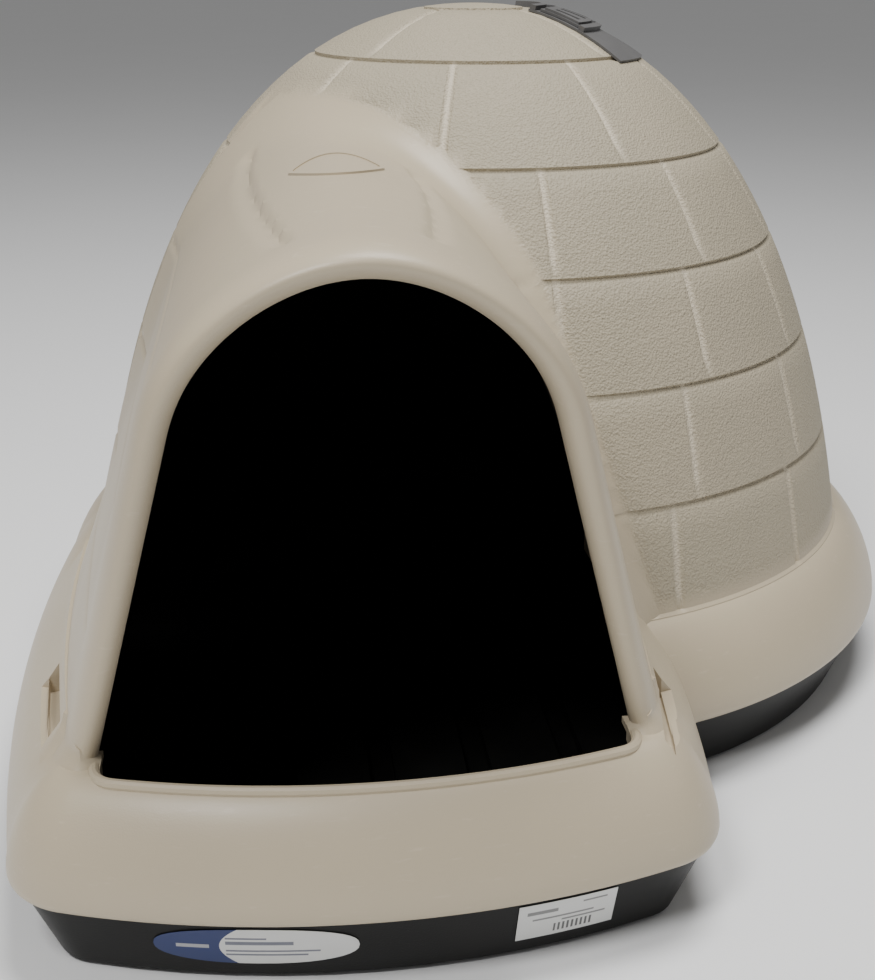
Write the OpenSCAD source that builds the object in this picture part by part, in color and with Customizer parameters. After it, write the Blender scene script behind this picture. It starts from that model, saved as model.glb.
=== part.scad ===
// Dome-shaped pet shelter: a one-piece moulded shell with an offset entrance tunnel,
// set down over a black base tray, with an adjustable air vent near the top of the dome.
// Frame: origin on the floor under the dome's axis, +Z up, the entrance faces -Y.

/* [Dome] */
// Height of the top of the dome above the floor
dome_h = 638; // [560:1:780]
// Radius of the dome's wall where it meets the skirt
dome_foot_r = 379; // [320:1:460]
// Roundness of the dome from the side, larger is steeper at the foot
dome_m = 2.947; // [2.6:0.001:3.2]
// Roundness of the dome's shoulder, larger is fuller
dome_n = 2.156; // [1.9:0.001:2.4]
// Wall of the moulded shell
wall = 5; // [4:0.5:7]

/* [Skirt] */
// Height of the skirt's upper edge, which is also the height of the door sill
skirt_top = 148; // [130:1:165]
// Height of the widest line of the skirt
skirt_mid = 72; // [68:1:84]
// Height of the skirt's lower edge, where it stands on the base
skirt_low = 64; // [60:1:66]
// How far the skirt's widest line stands out from the wall's foot
skirt_run = 46; // [40:1:60]
// How far the lower edge tucks back in under the widest line
skirt_tuck = 5; // [3:1:10]
// Fullness of the skirt's upper part, larger is rounder
skirt_full = 1.4; // [1.3:0.05:2]

/* [Entrance tunnel] */
// How far the tunnel's middle lies to the left of the dome's axis
tunnel_off = 147; // [100:1:170]
// Distance from the dome's axis line to the front of the lower skirt edge
front_reach = 638; // [600:1:760]
// Half width of the lower skirt edge where it is widest
side_wide = 284; // [250:1:330]
// How much narrower the half width is at the front
side_draw = 30; // [10:1:50]
// Distance of the widest place in front of the dome's axis
side_at = 230; // [180:1:280]
// Corner radius of the lower skirt edge
corner_r = 60; // [40:1:80]
// Rise of the tunnel's roof towards the dome, in mm per mm
roof_rise = 0.045; // [0:0.005:0.1]
// Sideways taper of the walls, in mm per mm of height
wall_taper = 0.2575; // [0.15:0.0025:0.35]

/* [Doorway] */
// Height of the doorway above its sill
door_h = 352; // [300:1:400]
// Distance of the doorway's sill from the front of the lower skirt edge
door_set = 88; // [75:1:110]
// Width of the rolled rim around the doorway
rim = 24; // [16:1:30]
// Depth of the rolled rim, measured back into the tunnel
rim_depth = 24; // [15:1:40]
// Forward lean of the doorway, degrees
door_lean = 9.6; // [0:0.1:12]

/* [Vent] */
// Half of the angle that the vent takes around the dome
vent_half = 42; // [36:1:45]
// Height of the vent's lower edge on the dome
vent_low = 589; // [584:1:596]
// Height of the vent's upper edge on the dome
vent_high = 632; // [628:1:634]
// Height of the step between the vent's two halves
vent_step = 614; // [610:1:618]
// Thickness of the vent's plates
vent_t = 2.2; // [2:0.1:4]
// Number of air slots
slot_count = 6; // [4:1:7]
// Angle between neighbouring air slots
slot_pitch = 11; // [10:0.5:12]
// Travel of the shutter, degrees
shutter_travel = 5.5; // [5:0.5:6]

/* [Base tray] */
// Thickness of the tray's floor and walls
tray_wall = 6; // [5:0.5:8]
// How far the tray's foot is drawn in under its rim
tray_draw = 20; // [10:1:30]
// Height of the rim that stands up inside the skirt
tray_rim_h = 18; // [12:1:20]
// Height of the raised bars on the floor
bar_h = 12; // [8:1:20]
// Width of a raised bar
bar_w = 62; // [40:1:90]
// Width of a drainage channel between two bars
channel_w = 22; // [15:1:40]

/* [Labels] */
// Length of the oval label
oval_w = 142; // [110:1:160]
// Height of the oval label
oval_h = 40; // [36:1:42]
// Length of the item label
item_w = 74; // [60:1:90]
// Height of the item label
item_h = 40; // [36:1:42]

/* [Hidden] */

eps = 0.01;
seat = 0.3;             // gap between pieces that are set on each other
lap = 1;                // how far solids that join run into each other
past = 1;               // how far a cutter runs past the face it opens
taupe = [0.66, 0.63, 0.57];
black = [0.05, 0.05, 0.05];
vent_grey = [0.25, 0.25, 0.26];
label_white = [0.93, 0.93, 0.93];

// ---- dome curve: |r/a|^n + |(z-root)/height|^m = 1 ----
dome_root = -0.551 * dome_h;
dome_steps = 26;
dome_low = (skirt_mid + skirt_top) / 2;          // the dome's wall starts inside the skirt
dome_rise = dome_h - dome_root;
function dome_turn(z) = asin(pow((z - dome_root) / dome_rise, dome_m / 2));
dome_a = dome_foot_r / pow(cos(dome_turn(skirt_top)), 2 / dome_n);
function dome_r(z) = dome_a * pow(cos(dome_turn(z)), 2 / dome_n);
function dome_slope(r, z) = [
    dome_n / dome_a * pow(r / dome_a, dome_n - 1),
    dome_m / dome_rise * pow((z - dome_root) / dome_rise, dome_m - 1)
];
function dome_point(turn, off) =
    let (r = dome_a * pow(cos(turn), 2 / dome_n))
    let (z = dome_root + dome_rise * pow(sin(turn), 2 / dome_m))
    let (g = dome_slope(r, z))
    [max(0, r + off * g[0] / norm(g)), z + off * g[1] / norm(g)];
// a strip of the dome's skin between two heights and two offsets from its surface
function dome_strip(z_low, z_high, off_in, off_out, steps) =
    let (t0 = dome_turn(z_low))
    let (t1 = dome_turn(z_high))
    concat(
        [for (i = [0 : steps]) dome_point(t0 + (t1 - t0) * i / steps, off_out)],
        [for (i = [steps : -1 : 0]) dome_point(t0 + (t1 - t0) * i / steps, off_in)]
    );

// ---- skirt and base outline ----
edge_r = dome_foot_r + skirt_run - skirt_tuck;   // radius of the skirt's lower edge
foot_in = skirt_run - skirt_tuck;                // lower edge to wall foot
side_end = 80;                                   // the side's curve ends this far behind the front
corner_end = 35;                                 // the corner joins the side this far behind its own radius
function side_half(y) = side_wide - side_draw * pow((y + side_at) / (front_reach - side_at - side_end), 2);
corner_x = side_half(-(front_reach - corner_r - corner_end)) - corner_r;
corner_y = -sqrt(pow(front_reach - corner_r, 2) - pow(corner_x, 2));
corner_turn = atan2(-corner_y, corner_x);
side_steps = 7;
corner_steps = 7;
front_steps = 12;
// half of the tunnel's outline, e outside the lower skirt edge, from the dome's axis to the front
function half_outline(e) = concat(
    [for (i = [0 : side_steps]) let (y = corner_y * i / side_steps) [side_half(y) + e, y]],
    [for (i = [1 : corner_steps]) let (a = corner_turn * i / corner_steps)
        [corner_x + (corner_r + e) * cos(a), corner_y - (corner_r + e) * sin(a)]],
    [for (i = [1 : front_steps / 2]) let (a = corner_turn + (90 - corner_turn) * i / (front_steps / 2))
        [(front_reach + e) * cos(a), -(front_reach + e) * sin(a)]]
);
function turned(points) = [for (i = [len(points) - 1 : -1 : 0]) points[i]];
function mirrored(points) = [for (i = [len(points) - 2 : -1 : 0]) [-points[i][0], points[i][1]]];
function tunnel_outline(e) = turned(concat(half_outline(e), mirrored(half_outline(e))));
function level(points, z) = [for (p = points) [p[0] - tunnel_off, p[1], z]];
// the rounded section of the skirt above "low", as [outset from the lower edge, height]
bulge_steps = 7;
tuck_steps = 3;
function skirt_section(inset, low) = concat(
    [for (z = low < skirt_low ? [low, skirt_low] : [low]) [-inset, z]],
    [for (i = [1 : tuck_steps]) let (a = 90 * i / tuck_steps)
        [skirt_tuck * sin(a) - inset, skirt_low + (skirt_mid - skirt_low) * (1 - cos(a))]],
    [for (i = [1 : bulge_steps]) let (a = 90 * i / bulge_steps)
        [skirt_tuck - skirt_run + skirt_run * pow(cos(a), 2 / skirt_full) - inset,
         skirt_mid + (skirt_top - skirt_mid) * pow(sin(a), 2 / skirt_full) - inset * sin(a)]]
);

// ---- tunnel section: tapered walls that close in an arch ----
arch_m = 2.37;                                   // roundness of the arch from the side
arch_n = 1.95;                                   // roundness of the arch from above
shoulder = 0.654;                                // part of the height where the arch begins
wall_steps = 2;
arch_steps = 14;
front_y = front_reach - door_set;                // sill's distance from the dome's axis line
roof_t = 22;                                     // rim above the doorway
roof_clear = 60;                                 // the roof line stays this far below the top of the dome
roof_parts = [0, 0.3, 0.55, 0.75];               // sections of the tunnel, as parts of its length
function arch_half(half, draw, height, h) =
    let (spring = shoulder * height)
    (half - draw * h) * (h > spring ? pow(1 - pow((h - spring) / (height - spring), arch_m), 1 / arch_n) : 1);
function arch_side(half, draw, height) =
    let (spring = shoulder * height)
    let (levels = concat(
        [for (i = [0 : wall_steps - 1]) spring * i / wall_steps],
        [for (i = [0 : arch_steps]) spring + (height - spring) * sin(90 * i / arch_steps)]))
    [for (h = levels) [arch_half(half, draw, height, min(h, height)), min(h, height)]];
function arch(half, draw, height, below) = concat(
    [[half, -below]],
    arch_side(half, draw, height),
    mirrored(arch_side(half, draw, height)),
    [[-half, -below]]
);
outer_half = side_half(-front_y) - foot_in;      // half width of the tunnel at its front, at the sill
door_half = outer_half - rim;
function wall_half(y) = side_half(y) - foot_in;
// the walls draw in so that the arch springs from the same width all the way back
function wall_draw(y) = (wall_half(y) - outer_half) / (shoulder * roof_h(y)) + wall_taper;
function roof_h(y) = door_h + roof_t + roof_rise * (y + front_y);

// ---- vent ----
hole_half = vent_half - 6;                       // the plate laps over the ends of the dome's hole
hole_low = vent_low + 7;
hole_high = vent_high - 4;
collar_fit = 1;                                  // the collar's clearance in the hole, in mm and degrees
collar_low = hole_low + collar_fit;
collar_high = hole_high - collar_fit;
collar_half = hole_half - collar_fit;
collar_wall_low = 1.5;
collar_wall_high = 1;
collar_wall_end = 2;
rail_half = vent_half - 0.5;
rail_step_low = vent_step - 1.5;                 // the rail along the step between the vent's halves
rail_step_high = vent_step + 1;
rail_edge_low = vent_high - 1.5;                 // the rail along the vent's upper edge
rail_edge_high = vent_high - 0.2;
shutter_gap = 0.4;
shutter_low = vent_step + 1.5;
shutter_high = vent_high - 2.5;
shutter_half = vent_half - 2 - shutter_travel / 2;
pad_in = 1;                                      // the shutter's raised pad, in mm and degrees
slot_in = 3;                                     // solid strip above and below a slot
slot_turn = 5;
grip_from_end = 7;                               // the finger recess, in degrees
grip_half = 2;
vent_steps = 8;

// ---- base tray ----
tray_out = -2;                                   // tray's band, measured from the lower skirt edge
rim_out = -(wall + 1);                           // clearance of the standing rim inside the skirt
rim_wall = 4;
rim_root = 8;                                    // the rim reaches this far down inside the band
rim_step = 4;                                    // and its full thickness this far
foot_round = 15;
foot_mid = foot_round * (1 - cos(45));
bar_margin = 12;                                 // floor left bare around the bars
bar_side = ceil(edge_r / (bar_w + channel_w));   // bars to either side of the middle one
tongue_w = 34;
tongue_h = 9;
tongue_first = -40;
tongue_step = 50;
tongue_last = 160;

// ---- labels ----
label_t = 0.4;
label_z = 38;
label_fan = 60;                                  // angle of the front band that the labels are cut from
label_cut = 60;                                  // depth of the labels' cutter either side of the band
oval_x = -86;                                    // middle of the oval label, from the tunnel's middle
item_x = 134;                                    // middle of the item label
oval_steps = 40;
oval_power = 2.4;

// a solid through rings of as many points each, lowest ring first, each ring anticlockwise from above
module loft(rings) {
    n = len(rings[0]);
    last = len(rings) - 1;
    polyhedron(
        points = [for (ring = rings) each ring],
        faces = concat(
            [[for (i = [0 : n - 1]) i]],
            [[for (i = [n - 1 : -1 : 0]) last * n + i]],
            [for (k = [0 : last - 1]) for (i = [0 : n - 1])
                let (here = k * n + i)
                let (next = k * n + (i + 1) % n)
                each [[here, here + n, next], [next, here + n, next + n]]]
        )
    );
}

module dome_solid(inset) {
    rotate_extrude($fn = 96)
    polygon(concat(
        [[0, dome_low], [dome_foot_r - inset, dome_low]],
        [for (i = [0 : dome_steps])
            let (foot_turn = dome_turn(skirt_top))
            let (turn = foot_turn + (90 - foot_turn) * i / dome_steps)
            i == dome_steps ? [0, dome_h - inset] : dome_point(turn, -inset)]
    ));
}

module skirt_solid(inset, low) {
    section = skirt_section(inset, low);
    rotate_extrude($fn = 96)
    polygon(concat(
        [[0, low]],
        [for (p = section) [edge_r + p[0], p[1]]],
        [[0, skirt_top - inset]]
    ));
    loft([for (p = section) level(tunnel_outline(p[0]), p[1])]);
}

// an arch standing across the tunnel, its upper part leant forward
function upright(points, y, lean) =
    [for (p = points) [p[0] - tunnel_off, y - (p[1] > 0 ? p[1] * tan(lean) : 0), skirt_top + p[1]]];

module tunnel_solid(inset) {
    roof_limit = dome_h - skirt_top - roof_clear;
    sink = (skirt_top - skirt_mid) / 2;
    loft(concat(
        [for (part = roof_parts)
            let (y = -front_y * part)
            let (high = min(roof_h(y), roof_limit) - inset)
            upright(arch(wall_half(y) - inset, wall_draw(y), high, sink), y, 0)],
        [upright(arch(outer_half - inset, wall_taper, door_h + roof_t - inset, sink), -front_y + inset, door_lean)]
    ));
}

// a bar with the doorway's outline, grown by "grow", from "back" behind the rim's face to "ahead" in front
module doorway(grow, back, ahead, below) {
    outline = arch(door_half + grow, wall_taper, door_h + grow, below);
    loft([upright(outline, back - front_y, door_lean), upright(outline, -ahead - front_y, door_lean)]);
}

module door_lip() {
    difference() {
        doorway(wall, rim_depth, -lap, eps);
        doorway(0, rim_depth + past, 0, 2 * eps);
    }
}

module vent_sector(z_low, z_high, off_in, off_out, half) {
    rotate([0, 0, -half])
    rotate_extrude(angle = 2 * half, $fn = 96)
    polygon(dome_strip(z_low, z_high, off_in, off_out, vent_steps));
}

module upper_shell() {
    color(taupe) {
        difference() {
            union() {
                dome_solid(0);
                tunnel_solid(0);
                skirt_solid(0, skirt_low);
            }
            dome_solid(wall);
            tunnel_solid(wall);
            skirt_solid(wall, skirt_low - wall);
            doorway(0, rim_depth + wall, rim, eps);
            vent_sector(hole_low, hole_high, -3 * wall, 3 * wall, hole_half);
        }
        door_lip();
    }
}

module vent_slots(turn, off_in, off_out) {
    for (i = [0 : slot_count - 1])
        rotate([0, 0, turn + (i - (slot_count - 1) / 2) * slot_pitch])
        vent_sector(shutter_low + slot_in, shutter_high - slot_in, off_in, off_out, slot_turn / 2);
}

module vent_frame() {
    plate_top = seat + vent_t;
    rail_top = plate_top + 2 * vent_t;
    color(vent_grey)
    difference() {
        union() {
            vent_sector(vent_low, vent_high, seat, plate_top, vent_half);
            vent_sector(collar_low, collar_high, -2 * wall, seat + lap, collar_half);
            vent_sector(rail_step_low, rail_step_high, seat + lap, rail_top, rail_half);
            vent_sector(rail_edge_low, rail_edge_high, seat + lap, rail_top, rail_half);
        }
        vent_sector(collar_low + collar_wall_low, collar_high - collar_wall_high,
            -3 * wall, seat + lap / 2, collar_half - collar_wall_end);
        vent_slots(0, -past, plate_top + past);
    }
}

module vent_shutter() {
    low_face = seat + vent_t + shutter_gap;
    color(vent_grey)
    rotate([0, 0, -shutter_travel / 2])
    difference() {
        union() {
            vent_sector(shutter_low, shutter_high, low_face, low_face + vent_t, shutter_half);
            vent_sector(shutter_low + pad_in, shutter_high - pad_in,
                low_face, low_face + 2 * vent_t, shutter_half - pad_in);
        }
        vent_slots(slot_pitch / 2 + shutter_travel / 2, low_face - past, low_face + 3 * vent_t);
        rotate([0, 0, grip_from_end - shutter_half])
        vent_sector(shutter_low + slot_in, shutter_high - slot_in,
            low_face + vent_t, low_face + 3 * vent_t, grip_half);
    }
}

// the tray's tapered shape, drawn in by "inset" and starting "lift" above the floor
module tray_shape(inset, lift, top) {
    profile = [[tray_out - tray_draw - foot_round - inset, lift],
               [tray_out - tray_draw - foot_mid - inset, lift + foot_mid],
               [tray_out - tray_draw - inset, lift + foot_round],
               [tray_out - inset, top]];
    rotate_extrude($fn = 96)
    polygon(concat([[0, lift]], [for (p = profile) [edge_r + p[0], p[1]]], [[0, top]]));
    loft([for (p = profile) level(tunnel_outline(p[0]), p[1])]);
}

module tray_prism(e, z_low, z_high) {
    translate([0, 0, z_low])
    linear_extrude(z_high - z_low)
    union() {
        circle(r = edge_r + e, $fn = 96);
        translate([-tunnel_off, 0]) polygon(tunnel_outline(e));
    }
}

module tray_bars() {
    intersection() {
        tray_prism(tray_out - tray_draw - foot_round - tray_wall - bar_margin,
            tray_wall - lap, tray_wall + bar_h);
        for (i = [-bar_side : bar_side])
            translate([i * (bar_w + channel_w) - bar_w / 2, -front_reach, 0])
            cube([bar_w, 2 * front_reach, tray_wall + bar_h + past]);
    }
}

module base_tray() {
    rim_top = skirt_low + tray_rim_h;
    shelf = skirt_low - seat;
    color(black) {
        difference() {
            union() {
                tray_shape(0, 0, shelf);
                tray_prism(rim_out, shelf - rim_root, rim_top);
            }
            tray_shape(tray_wall + rim_wall, tray_wall, shelf - rim_root);
            tray_prism(rim_out - 2 * rim_wall, shelf - rim_root - past, rim_top + past);
            tray_prism(rim_out - rim_wall, shelf - rim_step, rim_top + 2 * past);
        }
        tray_bars();
        for (a = [tongue_first : tongue_step : tongue_last])
            rotate([0, 0, a])
            translate([edge_r + rim_out - rim_wall, -tongue_w / 2, rim_top - 2 * lap])
            cube([rim_wall - lap, tongue_w, tongue_h]);
    }
}

// a thin plate that follows the tray's curved front between two heights
module front_strip(z_low, z_high) {
    slope = tray_draw / (skirt_low - seat - foot_round);
    function band_r(z) = front_reach + tray_out - slope * (skirt_low - seat - z) + seat;
    translate([-tunnel_off, 0, 0])
    rotate([0, 0, -90 - label_fan / 2])
    rotate_extrude(angle = label_fan, $fn = 180)
    polygon([[band_r(z_low), z_low], [band_r(z_low) + label_t, z_low],
             [band_r(z_high) + label_t, z_high], [band_r(z_high), z_high]]);
}

module oval_label() {
    function oval(a) = [oval_w / 2 * sign(cos(a)) * pow(abs(cos(a)), 2 / oval_power),
                        oval_h / 2 * sign(sin(a)) * pow(abs(sin(a)), 2 / oval_power)];
    color(label_white)
    intersection() {
        front_strip(label_z - oval_h / 2 - past, label_z + oval_h / 2 + past);
        translate([oval_x - tunnel_off, label_cut - front_reach, label_z])
        rotate([90, 0, 0])
        linear_extrude(2 * label_cut)
        polygon([for (i = [0 : oval_steps - 1]) oval(360 * i / oval_steps)]);
    }
}

module item_label() {
    color(label_white)
    intersection() {
        front_strip(label_z - item_h / 2 - past, label_z + item_h / 2 + past);
        translate([item_x - item_w / 2 - tunnel_off, -label_cut - front_reach, label_z - item_h / 2])
        cube([item_w, 2 * label_cut, item_h]);
    }
}

upper_shell();
base_tray();
vent_frame();
vent_shutter();
oval_label();
item_label();
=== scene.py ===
import math

import bpy
import numpy as np
from mathutils import Matrix, Vector


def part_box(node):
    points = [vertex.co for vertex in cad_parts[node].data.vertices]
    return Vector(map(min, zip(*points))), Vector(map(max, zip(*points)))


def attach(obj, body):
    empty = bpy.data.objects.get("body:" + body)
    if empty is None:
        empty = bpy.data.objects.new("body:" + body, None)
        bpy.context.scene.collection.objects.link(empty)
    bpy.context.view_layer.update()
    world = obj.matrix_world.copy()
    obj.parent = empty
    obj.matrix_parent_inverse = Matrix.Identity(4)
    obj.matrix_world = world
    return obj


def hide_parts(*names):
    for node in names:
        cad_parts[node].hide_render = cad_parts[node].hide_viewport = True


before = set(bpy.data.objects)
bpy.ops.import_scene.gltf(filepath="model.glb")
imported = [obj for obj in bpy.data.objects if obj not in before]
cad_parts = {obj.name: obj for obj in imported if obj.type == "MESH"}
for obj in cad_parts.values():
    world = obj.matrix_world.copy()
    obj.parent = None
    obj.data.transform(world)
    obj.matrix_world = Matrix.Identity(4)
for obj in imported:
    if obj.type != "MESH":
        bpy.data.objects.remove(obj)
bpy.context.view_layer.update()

# ---- Upper shell -----------------------------------------------------------------------
# One blow-moulded piece of taupe polyethylene: a dome with brick courses, an entrance tunnel
# that flows out of it with a smooth hood, and a rounded skirt that stands on the base.
mm = 0.001
low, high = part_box("upper_shell")
wall = 5 * mm
dome_h = high.z
skirt_run, skirt_tuck, skirt_full = 46 * mm, 5 * mm, 1.55
foot_r = high.y - skirt_run
skirt_low, skirt_mid, sill_z = low.z, low.z + 8 * mm, low.z + 84 * mm
side_wide = 284 * mm
tunnel_x = low.x + side_wide + skirt_tuck
front_reach = -low.y - skirt_tuck

# The dome's curve from the side, |r/a|^n + |(z - root)/rise|^m = 1.
dome_root = -0.551 * dome_h
dome_rise = dome_h - dome_root
side_power, shoulder_power = 2.947, 2.156
dome_a = foot_r / (1 - ((sill_z - dome_root) / dome_rise) ** side_power) ** (1 / shoulder_power)


def dome_radius(z):
    return dome_a * np.clip(1 - ((z - dome_root) / dome_rise) ** side_power, 0, 1) ** (1 / shoulder_power)


def dome_slope(r, z):
    up = np.clip((z - dome_root) / dome_rise, 0, 9)
    return np.stack([shoulder_power / dome_a * (np.maximum(r, 1e-9) / dome_a) ** (shoulder_power - 1),
                     side_power / dome_rise * up ** (side_power - 1)], -1)


def dome_normal(r, z):
    g = dome_slope(r, z)
    return g / np.linalg.norm(g, axis=1)[:, None]


def dome_distance(x, y, z):
    r = np.hypot(x, y)
    g = (r / dome_a) ** shoulder_power + np.clip((z - dome_root) / dome_rise, 0, 9) ** side_power - 1
    return g / np.linalg.norm(dome_slope(r, z), axis=-1)


# The tunnel's section at each place along it: tapered walls that close in an arch.
foot_in = skirt_run - skirt_tuck
door_set, door_h, roof_t = 88 * mm, 352 * mm, 22 * mm
front_y = front_reach - door_set
taper, lean = 0.2575, math.tan(math.radians(9.6))
lean_from = 0.75
arch_spring, arch_across, arch_up = 0.654, 1.95, 2.37
widest_at, side_draw, roof_rise = 230 * mm, 30 * mm, 0.045
draw_over = 330 * mm


def side_half(y):
    return side_wide - side_draw * ((y + widest_at) / draw_over) ** 2


def roof_height(y):
    return door_h + roof_t + roof_rise * (y + front_y)


def wall_draw(y):
    return (side_half(y) - side_half(-front_y)) / (arch_spring * roof_height(y)) + taper


def lean_share(y):
    return np.clip((-lean_from * front_y - y) / ((1 - lean_from) * front_y), 0, 1)


def tunnel_distance(x, height, y, inset=0.0):
    """How far a point stands out of the tunnel's wall; y is where its section meets the sill."""
    top = roof_height(y) - inset
    spring = arch_spring * roof_height(y)
    side = np.maximum(side_half(y) - foot_in - inset - wall_draw(y) * height, 0.01)
    across = np.abs(x - tunnel_x) / side
    up = np.clip((height - spring) / (top - spring), 0, 9)
    q = across ** arch_across + up ** arch_up - 1
    sideways = arch_across / side * np.maximum(across, 1e-6) ** (arch_across - 1)
    upward = arch_up / (top - spring) * up ** (arch_up - 1)
    upward += arch_across * across ** arch_across * wall_draw(y) / side
    return q / np.hypot(sideways, upward)


def section_at(y, height):
    """The place along the sill whose leaning section passes through a point."""
    base = np.array(y, float)
    for _ in range(16):
        base = y + lean_share(base) * height * lean
    return base


# The dome and the tunnel flow into each other over this width.
fillet = 26 * mm


def shell_distance(x, y, z, base, inset=0.0):
    a, b = dome_distance(x, y, z), tunnel_distance(x, z - sill_z, base, inset)
    h = np.clip(fillet - np.abs(a - b), 0, None) / fillet
    return np.minimum(a, b) - h * h * fillet / 4


def only(*objects):
    bpy.ops.object.select_all(action="DESELECT")
    for o in objects:
        o.select_set(True)
    bpy.context.view_layer.objects.active = objects[0]


def new_mesh(name, points, edges=(), faces=()):
    mesh = bpy.data.meshes.new(name)
    mesh.from_pydata([tuple(p) for p in np.asarray(points, float).tolist()], edges, faces)
    obj = bpy.data.objects.new(name, mesh)
    bpy.context.scene.collection.objects.link(obj)
    only(obj)
    return obj


def outward(obj):
    only(obj)
    bpy.ops.object.mode_set(mode="EDIT")
    bpy.ops.mesh.select_all(action="SELECT")
    bpy.ops.mesh.remove_doubles(threshold=1e-6)
    bpy.ops.mesh.normals_make_consistent(inside=False)
    bpy.ops.object.mode_set(mode="OBJECT")
    return obj


def spun(name, profile, steps, angle=2 * math.pi, start=0.0):
    """A solid turned about the dome's axis from a profile of (radius, height)."""
    p = np.asarray(profile, float)
    points = np.stack([p[:, 0] * math.cos(start), p[:, 0] * math.sin(start), p[:, 1]], -1)
    closed = angle < 2 * math.pi
    edges = [(i, i + 1) for i in range(len(p) - 1)] + ([(len(p) - 1, 0)] if closed else [])
    obj = new_mesh(name, points, edges, [list(range(len(p)))] if closed else [])
    bpy.ops.object.mode_set(mode="EDIT")
    bpy.ops.mesh.select_all(action="SELECT")
    bpy.ops.mesh.spin(steps=steps, angle=angle, center=(0, 0, 0), axis=(0, 0, 1))
    bpy.ops.object.mode_set(mode="OBJECT")
    return outward(obj)


def lofted(name, rings):
    """A closed solid through rings of as many points each."""
    rings = np.asarray(rings, float)
    k, n = rings.shape[:2]
    at = np.arange(k * n).reshape(k, n)
    a, b = at[:-1], at[1:]
    sides = np.stack([a, np.roll(a, -1, 1), np.roll(b, -1, 1), b], -1).reshape(-1, 4).tolist()
    ends = [at[0][::-1].tolist(), at[-1].tolist()]
    return outward(new_mesh(name, rings.reshape(-1, 3), (), sides + ends))


def combine(obj, other, operation):
    only(obj)
    m = obj.modifiers.new("join", "BOOLEAN")
    m.operation, m.solver, m.object = operation, "MANIFOLD", other
    bpy.ops.object.modifier_apply(modifier=m.name)
    bpy.data.objects.remove(other)
    return obj


def coordinates(obj):
    co = np.empty(len(obj.data.vertices) * 3)
    obj.data.vertices.foreach_get("co", co)
    return co.reshape(-1, 3)


def move_to(obj, co):
    obj.data.vertices.foreach_set("co", np.asarray(co, float).ravel())
    obj.data.update()


def eased(t):
    t = np.clip(t, 0, 1)
    return t * t * (3 - 2 * t)


def stepped(s, depth):
    """A course line seen across it: sharp where the upper brick ends, then sloping out to the lower one."""
    return np.interp(s, [-0.9 * mm, 0.3 * mm, 2.2 * mm, 7.5 * mm], [0, depth, 0.9 * depth, 0], 0, 0)


# The skirt's rounded section, as (out from its lower edge, height).
tuck = [(skirt_tuck * math.sin(a), skirt_low + (skirt_mid - skirt_low) * (1 - math.cos(a)))
        for a in np.radians(np.linspace(22.5, 90, 4))]
bulge = [(skirt_run * max(math.cos(a), 0) ** (2 / skirt_full) - foot_in,
          skirt_mid + (sill_z - skirt_mid) * math.sin(a) ** (2 / skirt_full))
         for a in np.radians(np.linspace(9, 90, 15))]
edge_r = foot_r + foot_in

# The dome's rows: a few between the course lines and close ones along each line.
levels = [z * mm for z in (634.6, 594.3, 513.2, 429.1, 337.7, 241.9)]
meridian_z = sill_z + (dome_h - sill_z) * (1 - (1 - np.linspace(0, 1, 4000)) ** 2)
meridian_r = dome_radius(meridian_z)
along = np.concatenate([[0], np.cumsum(np.hypot(np.diff(meridian_r), np.diff(meridian_z)))])
course_at = [float(np.interp(z, meridian_z, along)) for z in levels][::-1]
rows = [0.0, 3 * mm]
row_starts = [3 * mm] + [c + 0.9 * mm for c in course_at]
row_ends = [c - 7.5 * mm for c in course_at] + [along[-1]]
tall_row = 60 * mm
for start, end in zip(row_starts, row_ends):
    count = 5 if end - start > tall_row else 3
    rows += list(np.linspace(start, end, count + 1)[1:])
    if end < along[-1]:
        rows += [end + d * mm for d in (2.6, 5.3, 7.2, 8.4)]
rows = np.array(sorted(set(np.round(rows, 6))))
row_z = np.interp(rows, along, meridian_z)
profile = [(0, skirt_low), (edge_r, skirt_low)] + [(edge_r + e, z) for e, z in tuck + bulge[:-1]]
profile += [(foot_r + 2.2 * mm, sill_z + 0.6 * mm)]
profile += [(float(dome_radius(z)), float(z)) for z in row_z[1:-1]] + [(0, dome_h)]
around_steps = 720
dome = spun("upper_shell_visual", profile, around_steps)

co = coordinates(dome)
x, y, z = co.T
turn = np.degrees(np.arctan2(x, -y))
r = np.hypot(x, y)
s = np.interp(z, meridian_z, along)
course_depth, joint_depth, hood_sink = 2.8 * mm, 2.7 * mm, 6 * mm
depth = np.zeros(len(co))
for c in course_at:
    depth = np.maximum(depth, stepped(c - s, course_depth))
# Upright joints of each course, as degrees round from the front and the step to the next.
joints = [(41.0, 90.0, 1), (20.9, 24.8, 6), (25.4, 24.7, 5), (30.7, 24.8, 4), (5.9, 30.2, 3), (-14.2, 39.6, 2)]
bounds_s = [along[-1]] + course_at[::-1] + [0.0]


def upright_lines(turn, r, s, reach, value):
    """A value that falls with the distance from the nearest upright joint of the course."""
    found = np.zeros(len(s))
    for first, step, course in joints:
        first = -46.0 if course == 1 else first
        away = (turn - first + step / 2) % step - step / 2
        across = np.abs(np.radians(away)) * r
        within = (s < bounds_s[course]) & (s > bounds_s[course + 1] + 1 * mm)
        found = np.maximum(found, np.where(within, np.interp(across, reach, value), 0))
    return found


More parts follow.
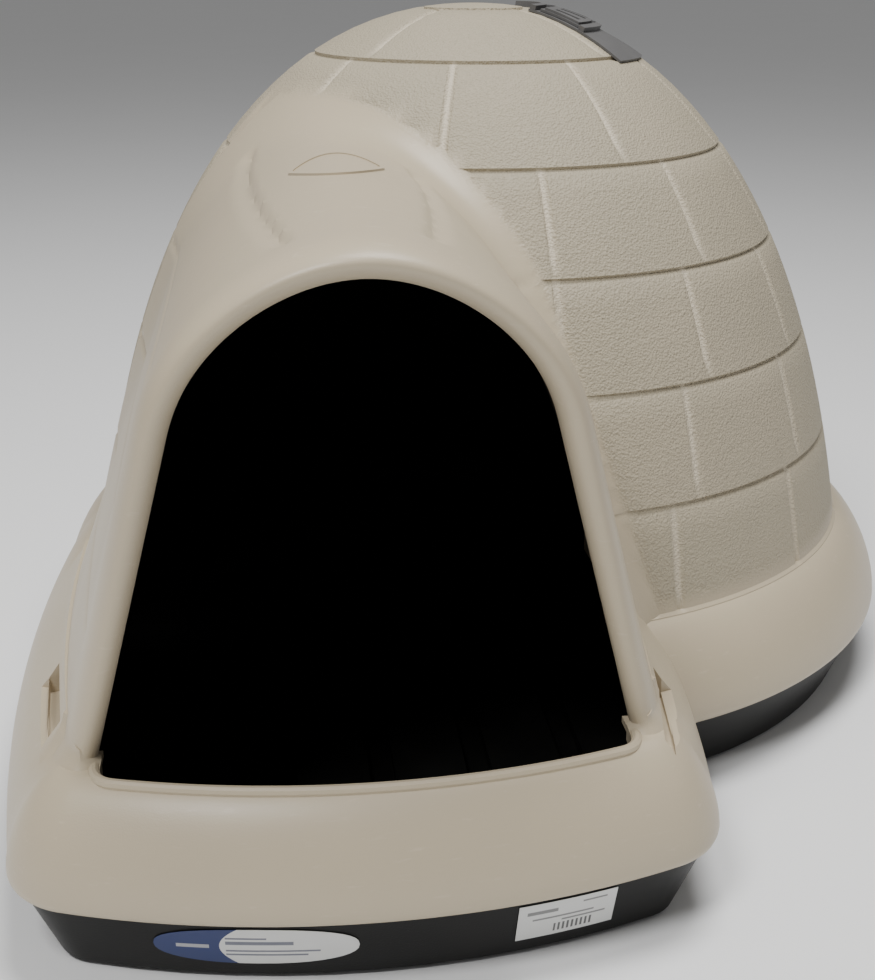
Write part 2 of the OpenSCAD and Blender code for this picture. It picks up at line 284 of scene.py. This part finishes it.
depth = np.maximum(depth, upright_lines(turn, r, s, [1.8 * mm, 4.6 * mm], [joint_depth, 0]))
on_dome = (z > sill_z + 1 * mm) & (z < dome_h - 1 * mm)
slope = dome_normal(r, z)
base = section_at(y, z - sill_z)
out = tunnel_distance(x, z - sill_z, base)
front = y < -40 * mm
sink = np.where(on_dome & front, hood_sink * eased((0.8 * fillet - out) / (0.35 * fillet)), 0)
depth = np.where(on_dome, depth, 0) + sink
around = np.stack([x, y], 1) / np.maximum(r, 1e-9)[:, None]
co[:, :2] -= around * (slope[:, 0] * depth)[:, None]
co[:, 2] -= slope[:, 1] * depth
move_to(dome, co)

# The tunnel and its hood: sections from deep inside the dome out to the rolled rim.
rim_width, rim_round, rim_back = 24 * mm, 12 * mm, 28 * mm
ring_y = list(np.linspace(-60 * mm, rim_back - front_y, 104))
ring_inset = [0.0] * len(ring_y)
for a in np.radians(np.linspace(11.25, 90, 8)):
    ring_y.append(rim_back * (1 - math.sin(a)) - front_y)
    ring_inset.append(rim_round * (1 - math.cos(a)))
for a in np.radians(np.linspace(15, 90, 6)):
    ring_y.append(rim_round * (1 - math.cos(a)) - front_y)
    ring_inset.append(rim_round * (1 + math.sin(a)))
ring_y += [rim_width - front_y, 1.5 * rim_width - front_y]
ring_inset += [rim_width] * 2
ring_y, ring_inset = np.array(ring_y)[:, None], np.array(ring_inset)[:, None]
eye = 120 * mm
line_h = levels[-1] - sill_z
rise_up = np.concatenate([np.linspace(-34 * mm, line_h - 7.6 * mm, 11),
                          line_h + np.array([-5, -2.4, -0.4, 0.9]) * mm,
                          np.linspace(line_h + 6 * mm, eye, 5)[:-1]])
fan = np.radians(np.linspace(180, 0, 181))
origin_h = np.concatenate([rise_up, np.full(len(fan), eye), rise_up[::-1]])
dir_x = np.concatenate([np.full(len(rise_up), -1.0), np.cos(fan), np.full(len(rise_up), 1.0)])
dir_h = np.concatenate([np.zeros(len(rise_up)), np.sin(fan), np.zeros(len(rise_up))])


def on_ray(reach):
    px = tunnel_x + dir_x * reach
    ph = origin_h + dir_h * reach
    py = ring_y - lean_share(ring_y) * np.maximum(ph, 0) * lean
    return px, py, ph


near, far = np.zeros((len(ring_y), len(dir_x))), np.full((len(ring_y), len(dir_x)), 0.8)
halvings = 34
for _ in range(halvings):
    middle = (near + far) / 2
    px, py, ph = on_ray(middle)
    inside = shell_distance(px, py, ph + sill_z, ring_y, ring_inset) < 0
    near, far = np.where(inside, middle, near), np.where(inside, far, middle)
px, py, ph = on_ray(near)
out = tunnel_distance(px, ph, ring_y, ring_inset)
near -= hood_sink * eased((out - 0.8 * fillet) / (0.35 * fillet))
# Moulded lines: two along the hood, where its top panel steps down to the sides, and the
# dome's level courses carried forward along the walls.
left_line = np.interp(py, [-0.599, -0.519, -0.409, -0.289, -0.196, -0.129],
                      [-0.186, -0.198, -0.209, -0.217, -0.220, -0.216])
right_line = np.interp(py, [-0.593, -0.517, -0.417, -0.318, -0.255], [-0.109, -0.097, -0.087, -0.081, -0.087])
across_line, down_line = np.array([-3.5, 0.5, 4, 14]) * mm, np.array([0, 4.0, 3.4, 0]) * mm
line = np.interp(left_line - px, across_line, down_line) * eased((-0.125 - py) / 0.01)
line = np.maximum(line, np.interp(px - right_line, across_line, down_line) * eased((-0.25 - py) / 0.01))
line *= eased((ph - 250 * mm) / (20 * mm))
for z in levels[3:]:
    side_on = np.abs(dir_x) > 0.6
    carried = stepped(z - sill_z - ph, 2.4 * mm) * side_on * eased((out + 40 * mm) / (20 * mm))
    line = np.maximum(line, carried)
near -= line * eased((ring_y + front_y - rim_back - 8 * mm) / (12 * mm)) * eased((fillet - out) / (6 * mm))
px, py, ph = on_ray(near)
tunnel = lofted("tunnel", np.stack([px, np.broadcast_to(py, px.shape), ph + sill_z], -1))

# The tunnel's part of the skirt runs straight back at the sides and round the front.
corner_r = 60 * mm
corner_x = side_half(-(front_reach - 95 * mm)) - corner_r
corner_y = -math.sqrt((front_reach - corner_r) ** 2 - corner_x ** 2)
corner_turn = math.atan2(-corner_y, corner_x)


def outline(e, side=30, corner=20, arc=40):
    yy = corner_y * np.linspace(0, 1, side + 1)
    half = [(side_half(v) + e, v) for v in yy]
    half += [(corner_x + (corner_r + e) * math.cos(a), corner_y - (corner_r + e) * math.sin(a))
             for a in corner_turn * np.linspace(0, 1, corner + 1)[1:]]
    half += [((front_reach + e) * math.cos(a), -(front_reach + e) * math.sin(a))
             for a in corner_turn + (math.pi / 2 - corner_turn) * np.linspace(0, 1, arc + 1)[1:]]
    half = np.array(half)
    whole = np.concatenate([half, half[-2::-1] * [-1, 1]])
    return whole + [tunnel_x, 0]


def at_height(plan, z):
    return np.concatenate([plan, np.full((len(plan), 1), z)], 1)


skirt_rings = [at_height(outline(0), skirt_low)] + [at_height(outline(e), z) for e, z in tuck + bulge]
skirt_rings += [at_height(outline(-foot_in - 20 * mm), sill_z)]
skirt = lofted("skirt", skirt_rings)
# The inner faces' material is painted near-black: painted shade for the inside of the hollow shell.
inside = bpy.data.materials.new("shell_inside_painted_shade")
outside = bpy.data.materials.new("shell_plastic")


def lined(obj, side=0):
    """Both plastics on a solid, the inner one painted near-black as painted shade, and its faces given the
    outer one (0) or the inner one (1).
    """
    obj.data.materials.clear()
    for m in (outside, inside):
        obj.data.materials.append(m)
    obj.data.polygons.foreach_set("material_index", [side] * len(obj.data.polygons))
    return obj


combine(lined(dome), lined(tunnel), "UNION")
combine(dome, lined(skirt), "UNION")

# The hollow inside, cut with plain solids a wall's thickness in.


def hollow(cutter, side=1):
    combine(dome, lined(cutter, side), "DIFFERENCE")


below = 27 * mm
inner_z = np.linspace(sill_z, dome_h - 8 * mm, 24)
g = dome_normal(dome_radius(inner_z), inner_z)
inner = [(0, sill_z - below), (foot_r - wall, sill_z - below)]
inner += [(float(dome_radius(v) - wall * n[0]), float(v - wall * n[1])) for v, n in zip(inner_z, g)]
hollow(spun("dome_hollow", inner + [(0, dome_h - wall)], 96))
inner_section = [(-wall, skirt_low - wall), (-wall, skirt_low)] + [(e - wall, v) for e, v in tuck]
inner_section += [(e - wall, v - wall * (v - skirt_mid) / (sill_z - skirt_mid)) for e, v in bulge]
hollow(spun("skirt_hollow", [(0, skirt_low - wall)] + [(edge_r + e, v) for e, v in inner_section]
            + [(0, sill_z - wall)], 96))
hollow(lofted("front_hollow", [at_height(outline(e, 12, 10, 16), v) for e, v in inner_section]))


def arch_ring(y, height, half, draw, leaning):
    spring = arch_spring * height
    hs = np.concatenate([[-below], np.linspace(0, spring, 5)[:-1],
                         spring + (height - spring) * np.sin(np.linspace(0, math.pi / 2, 22))])
    up = np.clip((hs - spring) / (height - spring), 0, 1)
    w = (half - draw * np.maximum(hs, 0)) * (1 - up ** arch_up) ** (1 / arch_across)
    pts = [(tunnel_x + b, y - leaning * max(h, 0) * lean, sill_z + h) for b, h in zip(w, hs)]
    return pts + [(2 * tunnel_x - p[0], p[1], p[2]) for p in pts[-2::-1]]


roof_limit = dome_h - sill_z - 60 * mm
rings = [arch_ring(v, min(roof_height(v), roof_limit) - wall, side_half(v) - foot_in - wall, wall_draw(v), 0)
         for v in (0, -0.3 * front_y, -0.55 * front_y, -lean_from * front_y)]
rings += [arch_ring(rim_width - front_y, roof_height(-front_y) - wall,
                    side_half(-front_y) - foot_in - wall, taper, 1)]
hollow(lofted("tunnel_hollow", rings))

# Where the tunnel's foot and the rim's foot run into the skirt, a soft hollow corner is filled.
foot = [(side_half(v) - foot_in, v) for v in np.linspace(-180 * mm, rim_back - front_y, 56)[:-1]]
rim_foot = side_half(-front_y) - foot_in
foot += [(rim_foot - rim_round * (1 - math.cos(a)), rim_back * (1 - math.sin(a)) - front_y)
         for a in np.radians(np.linspace(0, 90, 9))]
foot += [(rim_foot - rim_round * (1 + math.sin(a)), rim_round * (1 - math.cos(a)) - front_y)
         for a in np.radians(np.linspace(15, 75, 5))]
foot = np.array(foot)
ahead = np.gradient(foot, axis=0)
normal = np.stack([-ahead[:, 1], ahead[:, 0]], 1) / np.linalg.norm(ahead, axis=1)[:, None]
wide, narrow, buried = 24 * mm, 8 * mm, 9 * mm
size = np.interp(np.arange(len(foot)), [0, len(foot) - 14, len(foot) - 1], [wide, wide, narrow])
bend = np.radians(np.linspace(0, 90, 11))
for side in (-1, 1):
    rings = []
    for p, n, radius in zip(foot, normal, size):
        tilt = -taper * abs(n[0]) + lean * abs(n[1])
        up = radius * (1 - np.sin(bend))
        away = radius * (1 - np.cos(bend)) + tilt * up
        part_out = np.maximum(away, 0) / skirt_run
        fall = (sill_z - skirt_mid) * ((1 - part_out ** skirt_full) ** (1 / skirt_full) - 1)
        section = list(zip(away, up + fall)) + [(radius, fall[-1] - buried), (-buried, -buried),
                                                (tilt * radius - 3 * mm, radius)]
        rings.append([(tunnel_x + side * (p[0] + n[0] * u), p[1] + n[1] * u, sill_z + v) for u, v in section])
    combine(dome, lined(lofted("foot_fillet", rings)), "UNION")

# The doorway's foot is cut forward to the skirt, so the sill is just the skirt's bowed edge.
door_half = side_half(-front_y) - foot_in - rim_width
sill_edge = door_half - 1 * mm
sill_r = front_reach - foot_in + 1 * mm
corner = 16 * mm


def sill_corner(edge):
    """How far forward the sill's rounded corner is centred, and the angle that it turns through."""
    cy = -math.sqrt((sill_r - corner) ** 2 - (edge - corner) ** 2)
    return cy, math.atan2(-cy, edge - corner)


def sill_plan(edge):
    cy, end = sill_corner(edge)
    arc = [(edge, -500 * mm)] + [(edge - corner + corner * math.cos(a), cy - corner * math.sin(a))
                                 for a in end * np.linspace(0, 1, 9)]
    mid = [(sill_r * math.sin(a), -sill_r * math.cos(a))
           for a in np.linspace(0.9, -0.9, 25) * math.asin(door_half / sill_r)]
    return np.array(arc + mid + [(-u, v) for u, v in arc[::-1]]) + [tunnel_x, 0]


cuts = [at_height(sill_plan(sill_edge - taper * max(h, 0)), sill_z + h) for h in (-24 * mm, 0, 34 * mm)]
hollow(lofted("sill_hollow", cuts), 0)

# Two flat-floored notches beside the tunnel's foot, each with a deeper channel along the wall.
left_notch = ([(-380.5, -411), (-389, -413), (-379, -507), (-368.4, -507)],
              [(-389, -413), (-416, -405), (-407, -519), (-379, -507)])
right_notch = ([(78.8, -476), (85, -480), (73, -570), (66.8, -562)],
               [(85, -480), (110, -472), (99, -584), (73, -570)])
for channel, terrace in (left_notch, right_notch):
    channel, terrace = np.array(channel) * mm, np.array(terrace) * mm
    block = [at_height(channel, v) for v in (sill_z - 24 * mm, sill_z - 9 * mm)]
    combine(dome, lined(lofted("notch_floor", block)), "UNION")
    for plan, floor_z in ((channel, sill_z - 11.5 * mm), (terrace, sill_z - 7 * mm)):
        hollow(lofted("notch", [at_height(plan, floor_z), at_height(plan, sill_z + 32 * mm)]), 0)

# A rolled lip runs along the sill, round its corners and into the rim's feet.
lip_r, lip_z = 4.2 * mm, sill_z - 1.5 * mm
lip_out = 4 * mm
cy, end = sill_corner(sill_edge)
arm = [(sill_edge + 7 * mm, cy + 20 * mm, lip_z - 0.5 * mm), (sill_edge + 5 * mm, cy + 9 * mm, lip_z)]
arm += [(sill_edge - corner + (corner + lip_out) * math.cos(a), cy - (corner + lip_out) * math.sin(a), lip_z)
        for a in end * np.linspace(0, 1, 8)]
middle = [((sill_r + lip_out) * math.sin(a), -(sill_r + lip_out) * math.cos(a), lip_z)
          for a in np.linspace(-0.9, 0.9, 41) * math.asin(door_half / sill_r)]
points = [(-u, v, w) for u, v, w in arm] + middle + arm[::-1]
curve = bpy.data.curves.new("sill_lip", "CURVE")
curve.dimensions, curve.bevel_depth, curve.bevel_resolution, curve.use_fill_caps = "3D", lip_r, 3, True
line = curve.splines.new("POLY")
line.points.add(len(points) - 1)
for spot, (u, v, w) in zip(line.points, points):
    spot.co, spot.radius = (tunnel_x + u, v, w, 1), 1.0
lip = bpy.data.objects.new("sill_lip", curve)
bpy.context.scene.collection.objects.link(lip)
only(lip)
bpy.ops.object.convert(target="MESH")
combine(dome, lined(outward(bpy.context.object)), "UNION")


# A plain raised plaque on the hood, a lens with a border round it.
def hood_height(x, y):
    """The height of the hood's surface over a place."""
    low_z, high_z = np.full(x.shape, 0.33), np.full(x.shape, 0.65)
    for _ in range(30):
        middle = (low_z + high_z) / 2
        inside_it = shell_distance(x, y, middle, section_at(y, middle - sill_z)) < 0
        low_z, high_z = np.where(inside_it, middle, low_z), np.where(inside_it, high_z, middle)
    return low_z


plaque_x, plaque_y = -150.5 * mm, -323 * mm
plaque_half, plaque_front, plaque_back = 38 * mm, 51 * mm, 36 * mm


def lens(shrink, under, over):
    u = np.linspace(-0.975, 0.975, 41)[:, None]
    v = np.linspace(0, 1, 15)[None, :]
    x = plaque_x + (plaque_half - shrink) * u + 0 * v
    open_to = 1 - u ** 2
    y = plaque_y - (plaque_front - shrink) * open_to * (1 - v) + (plaque_back - shrink) * open_to * v
    z = hood_height(x, y)
    bottom, top = np.stack([x, y, z + under], -1), np.stack([x, y, z + over], -1)
    return lined(lofted("plaque", np.concatenate([bottom, top[:, ::-1]], 1)))


plaque = combine(lens(0, -3 * mm, 1.7 * mm), lens(3.5 * mm, 0.7 * mm, 4 * mm), "DIFFERENCE")
combine(dome, plaque, "UNION")

# The hole under the vent.
vent_z = np.linspace(596 * mm, 628 * mm, 9)
g = dome_normal(dome_radius(vent_z), vent_z)
strip = [(float(dome_radius(v) + 15 * mm * n[0]), float(v + 15 * mm * n[1])) for v, n in zip(vent_z, g)]
strip += [(float(dome_radius(v) - 15 * mm * n[0]), float(v - 15 * mm * n[1]))
          for v, n in zip(vent_z[::-1], g[::-1])]
vent_half = math.radians(36)
hollow(spun("vent_hole", strip, 48, 2 * vent_half, vent_half))
only(dome)
sharp = math.radians(32)
bpy.ops.object.shade_smooth_by_angle(angle=sharp)

# Where the moulded grain is: on the dome's bricks, and not on the hood, the tunnel or the skirt.
co = coordinates(dome)
x, y, z = co.T
out = np.where(y < -30 * mm, tunnel_distance(x, z - sill_z, section_at(y, z - sill_z)), 1.0)
grain = eased((z - sill_z - 2 * mm) / (10 * mm)) * eased((out - 0.7 * fillet) / (0.3 * fillet))
# The upright joints also get a mask for a painted highlight: a lighter colour that stands for the light on
# their grooves' lit walls.
seam = upright_lines(np.degrees(np.arctan2(x, -y)), np.hypot(x, y), np.interp(z, meridian_z, along),
                     [1.0 * mm, 4.0 * mm], [1, 0]) * grain
for name, value in (("grain", grain), ("seam", seam)):
    attribute = dome.data.attributes.new(name, "FLOAT", "POINT")
    attribute.data.foreach_set("value", value.astype(np.float32))
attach(dome, "shell")
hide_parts("upper_shell")


class Shade:
    """A value on its way through a material's nodes."""

    def __init__(self, tree, socket=None):
        self.tree, self.socket = tree, socket

    def node(self, kind, settings=None, inputs=None, out=0):
        made = self.tree.nodes.new(kind)
        for name, value in (settings or {}).items():
            if name == "stops":
                ramp = made.color_ramp.elements
                while len(ramp) < len(value):
                    ramp.new(0.5)
                for stop, (place, colour) in zip(ramp, value):
                    stop.position, stop.color = place, (*colour, 1)
            else:
                setattr(made, name, value)
        for name, value in (inputs or {}).items():
            if isinstance(value, Shade):
                self.tree.links.new(value.socket, made.inputs[name])
            elif hasattr(value, "__len__") and len(value) == 3 and made.inputs[name].type == "RGBA":
                made.inputs[name].default_value = (*value, 1)
            else:
                made.inputs[name].default_value = value
        return Shade(self.tree, made.outputs[out])

    def math(self, operation, a, b=0.0):
        return self.node("ShaderNodeMath", {"operation": operation}, {0: a, 1: b})

    def __add__(self, other):
        return self.math("ADD", self, other)

    def __sub__(self, other):
        return self.math("SUBTRACT", self, other)

    def __rsub__(self, other):
        return self.math("SUBTRACT", other, self)

    def __mul__(self, other):
        return self.math("MULTIPLY", self, other)

    __radd__, __rmul__ = __add__, __mul__


def surface(material, roughness, specular=0.5):
    """A fresh principled surface; gives a way to add nodes, and the shader."""
    material.use_nodes = True
    tree = material.node_tree
    tree.nodes.clear()
    end = tree.nodes.new("ShaderNodeOutputMaterial")
    shader = tree.nodes.new("ShaderNodeBsdfPrincipled")
    tree.links.new(shader.outputs[0], end.inputs[0])
    shader.inputs["Roughness"].default_value = roughness
    shader.inputs["Specular IOR Level"].default_value = specular
    return Shade(tree), shader


def feed(shade, shader, **sockets):
    for name, value in sockets.items():
        shade.tree.links.new(value.socket, shader.inputs[name.replace("_", " ")])


def noise(sh, place, scale, detail=2.0, roughness=0.5):
    return sh.node("ShaderNodeTexNoise", {}, {"Vector": place, "Scale": scale, "Detail": detail,
                                              "Roughness": roughness})


def raised(sh, height, strength, distance):
    return sh.node("ShaderNodeBump", {}, {"Height": height, "Strength": strength, "Distance": distance})


def blended(sh, factor, a, b, mode="MIX"):
    return sh.node("ShaderNodeMix", {"data_type": "RGBA", "blend_type": mode}, {0: factor, 6: a, 7: b}, 2)


def between(sh, value, a, b):
    return sh.node("ShaderNodeMapRange", {"interpolation_type": "SMOOTHSTEP"}, {0: value, 1: a, 2: b})


# The plastic: pebbled and matt on the bricks, satin with rubbed streaks on hood and skirt.
sh, shader = surface(outside, 0.5, 0.45)
here = sh.node("ShaderNodeTexCoord", out=3)
pebbled = sh.node("ShaderNodeAttribute", {"attribute_name": "grain"}, {}, 2)
clouds = noise(sh, here, 7.0, 4.0)
upright = sh.node("ShaderNodeMapping", {}, {"Vector": here, "Scale": (1.0, 1.0, 0.12)})
runs = noise(sh, upright, 26.0, 3.0)
brushed = sh.node("ShaderNodeMapping", {}, {"Vector": here, "Scale": (0.16, 0.5, 1.0),
                                            "Rotation": (0.0, 0.25, 0.2)})
scuffs = noise(sh, brushed, 260.0, 4.0, 0.6)
speckle = noise(sh, here, 420.0, 3.0, 0.6)
colour = blended(sh, pebbled, (0.505, 0.428, 0.305), (0.385, 0.338, 0.245))
colour = blended(sh, between(sh, clouds, 0.35, 0.7) * 0.35, colour, (0.46, 0.39, 0.285))
colour = blended(sh, between(sh, runs, 0.52, 0.72) * pebbled * 0.3, colour, (0.37, 0.32, 0.24))
colour = blended(sh, between(sh, speckle, 0.45, 0.75) * pebbled * 0.35, colour, (0.30, 0.26, 0.195))
colour = blended(sh, between(sh, scuffs, 0.60, 0.78) * (1 - pebbled) * 0.25, colour, (0.66, 0.58, 0.46))
# Painted highlight: a lighter colour along the dome's upright joints, standing for the light on their grooves'
# lit walls.
line = sh.node("ShaderNodeAttribute", {"attribute_name": "seam"}, {}, 2)
colour = blended(sh, line * 0.9, colour, (0.60, 0.53, 0.41))
pits = sh.node("ShaderNodeTexVoronoi", {"feature": "SMOOTH_F1"},
               {"Vector": here, "Scale": 520.0, "Smoothness": 0.6})
relief = (noise(sh, here, 300.0, 3.0) + pits * 0.9) * pebbled * 1.3 + scuffs * (1 - pebbled) * 0.10
relief = relief + noise(sh, here, 900.0, 1.0) * 0.12
bump = raised(sh, relief, 0.6, 0.0013)
rough = pebbled * 0.26 + 0.32 + clouds * 0.12 - between(sh, scuffs, 0.55, 0.8) * 0.05
feed(sh, shader, Base_Color=colour, Roughness=rough, Normal=bump)

# Inside, the same plastic as it came from the mould, dull; its colour is painted near-black as painted shade
# for the dark within the hollow shell, with a faint mottle.
sh, shader = surface(inside, 0.75, 0.2)
here = sh.node("ShaderNodeTexCoord", out=3)
shade_mottle = noise(sh, here, 9.0, 4.0)
feed(sh, shader, Base_Color=blended(sh, shade_mottle, (0.030, 0.028, 0.025), (0.016, 0.015, 0.014)),
     Normal=raised(sh, noise(sh, here, 260.0, 2.0), 0.3, 0.0006))

# ---- Base tray --------------------------------------------------------------------------
# A deep tray of black polypropylene that the shell stands on, with a rim inside the skirt and
# raised bars on its floor. Injection moulded, with a faint haze of dust.
tray_black = bpy.data.materials.new("tray_black")
sh, shader = surface(tray_black, 0.42, 0.12)
here = sh.node("ShaderNodeTexCoord", out=3)
haze = noise(sh, here, 14.0, 5.0)
dusty = noise(sh, here, 180.0, 3.0, 0.7)
colour = blended(sh, between(sh, haze, 0.4, 0.8) * 0.6, (0.0085, 0.0085, 0.0080), (0.020, 0.019, 0.018))
colour = blended(sh, between(sh, dusty, 0.62, 0.8) * 0.3, colour, (0.05, 0.047, 0.043))
bump = raised(sh, noise(sh, here, 700.0, 2.0), 0.25, 0.0005)
feed(sh, shader, Base_Color=colour, Roughness=haze * 0.3 + 0.26, Normal=bump)


def refined(node, name, material, body):
    """The CAD node's own shape with merged corners and a smooth surface."""
    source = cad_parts[node]
    obj = bpy.data.objects.new(name, source.data.copy())
    bpy.context.scene.collection.objects.link(obj)
    obj.data.materials.clear()
    obj.data.materials.append(material)
    obj.data.polygons.foreach_set("material_index", [0] * len(obj.data.polygons))
    only(obj)
    bpy.ops.object.mode_set(mode="EDIT")
    bpy.ops.mesh.select_all(action="SELECT")
    bpy.ops.mesh.remove_doubles(threshold=2e-5)
    bpy.ops.mesh.dissolve_limited(angle_limit=math.radians(0.5))
    bpy.ops.object.mode_set(mode="OBJECT")
    if obj.data.has_custom_normals:
        bpy.ops.mesh.customdata_custom_splitnormals_clear()
    bpy.ops.object.shade_smooth_by_angle(angle=math.radians(30))
    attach(obj, body)
    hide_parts(node)
    return obj


refined("base_tray", "base_tray_visual", tray_black, "tray")

# ---- Roof vent --------------------------------------------------------------------------
# Dark grey moulded plate in the dome's top, with a shutter that slides round in two rails.
vent_grey = bpy.data.materials.new("vent_grey")
sh, shader = surface(vent_grey, 0.5, 0.4)
here = sh.node("ShaderNodeTexCoord", out=3)
haze = noise(sh, here, 30.0, 4.0)
bump = raised(sh, noise(sh, here, 600.0, 2.0), 0.3, 0.0005)
feed(sh, shader, Base_Color=blended(sh, haze, (0.082, 0.080, 0.080), (0.125, 0.122, 0.120)),
     Roughness=haze * 0.3 + 0.38, Normal=bump)
refined("vent_frame", "vent_frame_visual", vent_grey, "shell")
refined("vent_shutter", "vent_shutter_visual", vent_grey, "shutter")

# ---- Labels -----------------------------------------------------------------------------
# Two glossy stickers on the tray's front: an oval one with plain colour fields, and a small
# oblong one with plain lines and stripes. Neither carries any lettering.
for node, body_slot in (("oval_label", "oval_sticker"), ("item_label", "item_sticker")):
    paper = bpy.data.materials.new(node + "_paper")
    sh, shader = surface(paper, 0.45, 0.4)
    here = sh.node("ShaderNodeTexCoord", out=3)
    lo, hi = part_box(node)
    centre, size = (lo + hi) / 2, hi - lo
    spot = sh.node("ShaderNodeMapping", {"vector_type": "TEXTURE"},
                   {"Vector": here, "Location": centre, "Scale": (size.x / 2, 1.0, size.z / 2)})
    split = sh.node("ShaderNodeSeparateXYZ", {}, {0: spot})
    across = Shade(sh.tree, split.socket.node.outputs[0])
    up = Shade(sh.tree, split.socket.node.outputs[2])
    fleck = noise(sh, here, 60.0, 3.0)
    colour = blended(sh, fleck * 0.25, (0.72, 0.72, 0.70), (0.52, 0.52, 0.50))

    def bar(x0, x1, z0, z1):
        def side(v, a, b):
            return sh.math("GREATER_THAN", v, a) * sh.math("LESS_THAN", v, b)
        return side(across, x0, x1) * side(up, z0, z1)

    if node == "oval_label":
        edge = up * up * 0.18 - 0.36
        navy = sh.math("LESS_THAN", across, 0.0) * sh.math("LESS_THAN", across - edge, 0.0)
        colour = blended(sh, navy, colour, (0.020, 0.035, 0.13))
        for b in ((-0.30, 0.36, 0.10, 0.30), (-0.30, 0.10, 0.42, 0.52),
                  (-0.30, 0.62, -0.30, -0.20), (-0.30, 0.50, -0.52, -0.42)):
            colour = blended(sh, bar(*b) * 0.85, colour, (0.08, 0.09, 0.14))
        colour = blended(sh, bar(-0.78, -0.46, -0.12, 0.08) * 0.8, colour, (0.5, 0.5, 0.5))
    else:
        for b in ((-0.82, -0.20, 0.38, 0.58), (0.30, 0.80, 0.62, 0.72),
                  (-0.70, 0.55, 0.02, 0.12), (-0.10, 0.80, -0.22, -0.12)):
            colour = blended(sh, bar(*b) * 0.8, colour, (0.10, 0.10, 0.10))
        stripes = sh.node("ShaderNodeTexWave", {"wave_profile": "SIN"},
                          {"Vector": spot, "Scale": 3.4, "Distortion": 0.0})
        bars = sh.math("GREATER_THAN", stripes, 0.5) * bar(-0.25, 0.55, -0.80, -0.34)
        colour = blended(sh, bars * 0.9, colour, (0.05, 0.05, 0.05))
    feed(sh, shader, Base_Color=colour)
    refined(node, node + "_visual", paper, "tray")

# ---- Studio -----------------------------------------------------------------------------
# A plain pale floor, soft light from above and the left, and the camera a little above.
bpy.ops.mesh.primitive_plane_add(size=40)
floor = bpy.context.object
floor.name = "floor"
pale = bpy.data.materials.new("floor_pale")
sh, shader = surface(pale, 0.9, 0.1)
here = sh.node("ShaderNodeTexCoord", out=3)
feed(sh, shader, Base_Color=blended(sh, noise(sh, here, 2.0), (0.90, 0.90, 0.90), (0.92, 0.92, 0.92)))
floor.data.materials.append(pale)

world = bpy.data.worlds.new("studio")
bpy.context.scene.world = world
world.use_nodes = True
sky = world.node_tree.nodes["Background"]
sky.inputs[0].default_value, sky.inputs[1].default_value = (1, 1, 1, 1), 0.25


def lamp(name, place, aim, size, power):
    light = bpy.data.lights.new(name, "AREA")
    light.shape, light.size, light.energy = "DISK", size, power
    obj = bpy.data.objects.new(name, light)
    obj.location = place
    obj.rotation_euler = (Vector(aim) - Vector(place)).to_track_quat("-Z", "Y").to_euler()
    bpy.context.scene.collection.objects.link(obj)


lamp("key", (-1.2, -2.0, 2.9), (-0.1, -0.2, 0.35), 0.9, 66)
lamp("top", (0.3, -0.3, 3.2), (0.0, -0.1, 0.3), 1.4, 80)

camera = bpy.data.cameras.new("camera")
camera.sensor_fit, camera.sensor_width, camera.lens = "HORIZONTAL", 36, 61.07
camera.shift_x, camera.shift_y = -0.0305, -0.0099
camera.dof.use_dof = False
view = bpy.data.objects.new("camera", camera)
right = Vector((0.99149, -0.13017, 0.00344))
above = Vector((0.04094, 0.3367, 0.94072))
ahead = Vector((0.12361, 0.93257, -0.33916))
turned = Matrix((right, above, -ahead)).transposed().to_4x4()
view.matrix_world = Matrix.Translation((-0.2043, -1.4873, 0.6893)) @ turned
bpy.context.scene.collection.objects.link(view)
bpy.context.scene.camera = view
